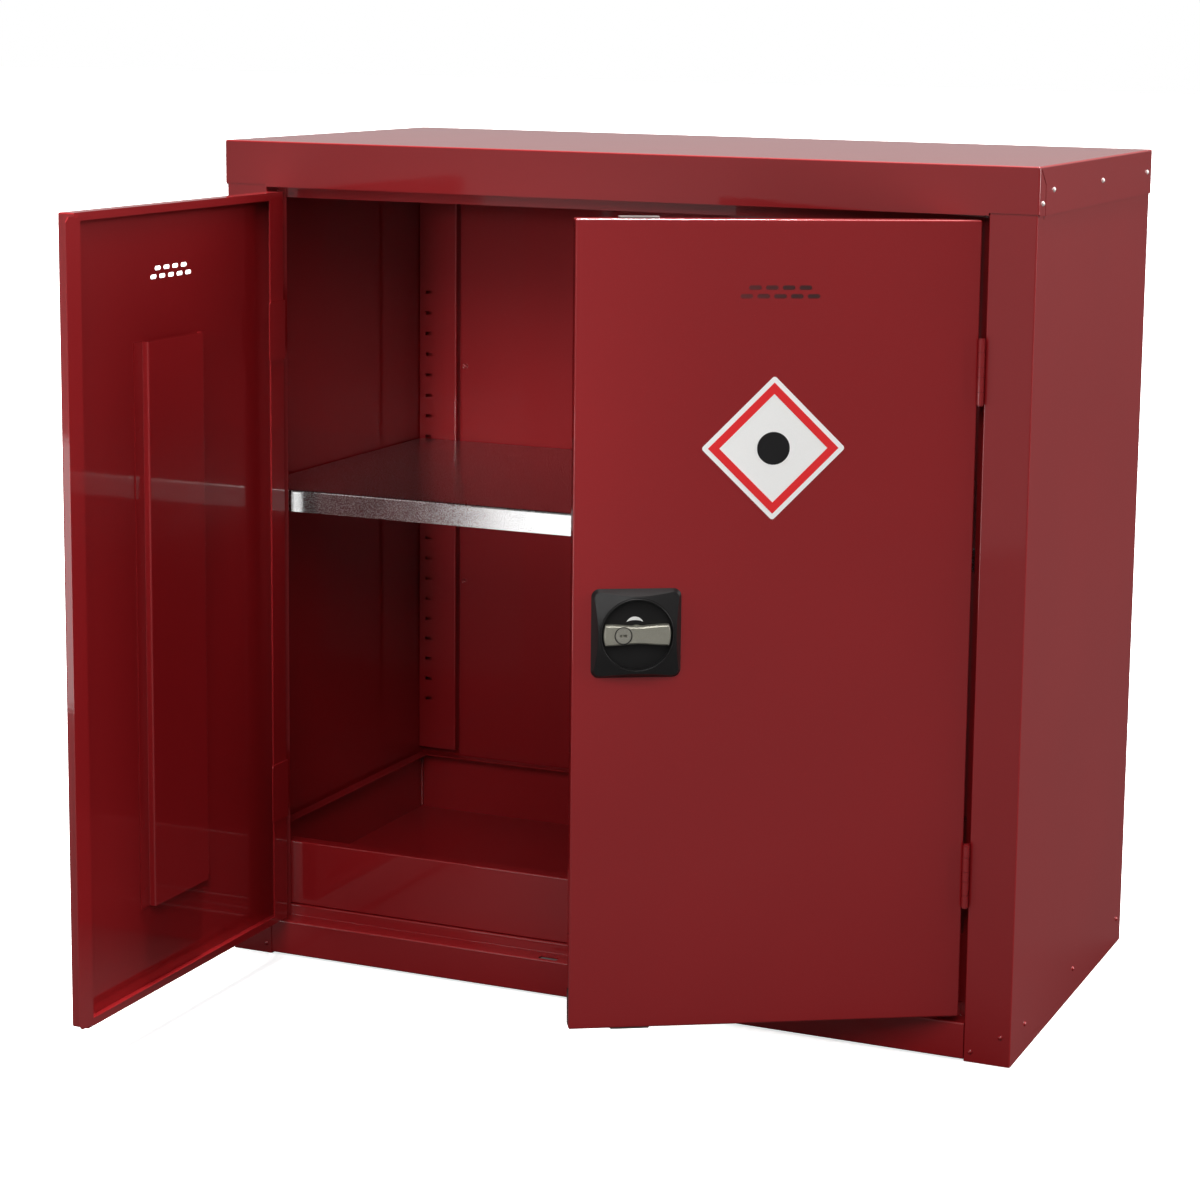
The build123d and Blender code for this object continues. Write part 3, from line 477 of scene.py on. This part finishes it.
def cap_seam_shadow_strip(shape):
    """Thin black strip in the seams at the cap's front corners, between the cap and the side panels: a
    painted shadow for the shade in the seams.
    """
    run = ((-0.2243, 0.8962), (-0.2084, 0.8821), (-0.207, 0.849))
    half, inner, outer = 0.0011, 0.44856, 0.44872
    section = [(inner, -half), (outer, -half * 0.6), (outer, half * 0.6), (inner, half)]
    for side in (-1, 1):
        rings = []
        for y, z in run:
            rings.append([shape.verts.new((side * x, y + shift, z + shift * 0.5)) for x, shift in section])
        join_rings(shape, rings)
        shape.faces.new(rings[0])
        shape.faces.new(rings[-1])


def tray_corner_welds(shape):
    """Rippled weld beads up the inside corners of the tray."""
    low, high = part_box("sump_tray")
    arc = [(0, 1.15), (0.55, 0.75), (0.78, 0.62), (1.15, 0), (0.2, 0.2)]
    ripples = 22
    steps = ripples * 4
    for x, side_x in ((low[0] + SHEET, 1), (high[0] - SHEET, -1)):
        for y, side_y in ((low[1] + SHEET, 1), (high[1] - SHEET, -1)):
            rings = []
            for step in range(steps + 1):
                part = step / steps
                swell = 0.0011 + 0.0005 * abs(sin(pi * ripples * part))
                z = low[2] + 0.0025 + part * (high[2] - low[2] - 0.006)
                points = [(x + side_x * swell * a * 1.6, y + side_y * swell * b * 1.6, z) for a, b in arc]
                rings.append([shape.verts.new(point) for point in points])
            join_rings(shape, rings)
            shape.faces.new(rings[0])
            shape.faces.new(rings[-1])


def spot_welds(shape):
    """Shallow weld nuggets down both flanges of a door's stiffener, in the closed right-hand frame."""
    inner = DOOR_FACE + 0.0025
    profile = [(0, 0.00022), (0.0012, 0.0002), (0.0021, 0.0001), (0.0027, -0.0001)]
    first = RIB_Z[0] + RIB_WELD_INSET
    span = RIB_Z[1] - RIB_Z[0] - 2 * RIB_WELD_INSET
    for x in (RIB_X - RIB_WELD, RIB_X + RIB_WELD):
        for number in range(RIB_WELDS):
            z = first + number * span / (RIB_WELDS - 1)
            turned(shape, profile, (x, inner, z), (0, 1, 0), 16)


def dish_rim(shape):
    """Fine moulded bead round the edge of the lock's dish, in the closed right-hand frame."""
    centre = (LOCK_X, DOOR_FACE - RIM_RISE, LOCK_Z)
    turned(shape, ring_profile(RIM_RADIUS, RIM_TUBE), centre, (0, -1, 0), 72)


def key_gap_shadow_ring(shape):
    """Dark ring round the key plug, a painted shadow for the gap round the plug, in the closed right-hand
    frame.
    """
    centre = (LOCK_X + KEY_OFF, BAR_FACE - 0.0001, LOCK_Z)
    turned(shape, ring_profile(SEAL_RADIUS, SEAL_TUBE), centre, (0, -1, 0), 48)


def key_wafer(shape):
    """Bright first wafer that shows in the keyway, in the closed right-hand frame."""
    x_mid, depth, z_mid = LOCK_X + KEY_OFF, BAR_FACE + 0.0012, LOCK_Z - 0.0004
    rings = []
    for half_x, half_z, y in ((0.0021, 0.0006, 0.0008), (0.0021, 0.0006, 0.0001), (0.0018, 0.0004, -0.0002)):
        corners = [(-half_x, -half_z), (half_x, -half_z), (half_x, half_z), (-half_x, half_z)]
        rings.append([shape.verts.new((x_mid + x, depth + y, z_mid + z)) for x, z in corners])
    join_rings(shape, rings)
    shape.faces.new(rings[-1])


def add_pieces():
    """Every detail piece, on the body it belongs to."""
    right, left = place_on_door(1), place_on_door(-1)
    mirror = Matrix.Scale(-1, 4, (1, 0, 0))
    add_piece("wall_hole_plugs", wall_hole_plugs, "carcass", "red_powder_coat")
    add_piece("rod_pockets", rod_pockets, "carcass", "guide_grey")
    # black strip painting the shadow in the cap's corner seams
    add_piece("cap_seam_shadow_strip", cap_seam_shadow_strip, "carcass", "lock_black")
    add_piece("tray_corner_welds", tray_corner_welds, "carcass", "red_powder_coat")
    add_piece("right_spot_welds", spot_welds, "right_door", "red_powder_coat", right)
    add_piece("left_spot_welds", spot_welds, "left_door", "red_powder_coat", left @ mirror)
    add_piece("lock_dish_rim", dish_rim, "right_door", "lock_black", right)
    # dark ring painting the shadow in the gap round the key plug
    add_piece("key_gap_shadow_ring", key_gap_shadow_ring, "lock_handle", "lock_black", right)
    add_piece("key_wafer", key_wafer, "key_plug", "nickel_key", right)


add_camera()
add_stage()
MATERIALS = make_materials()
dress_frame(MATERIALS)
add_pieces()
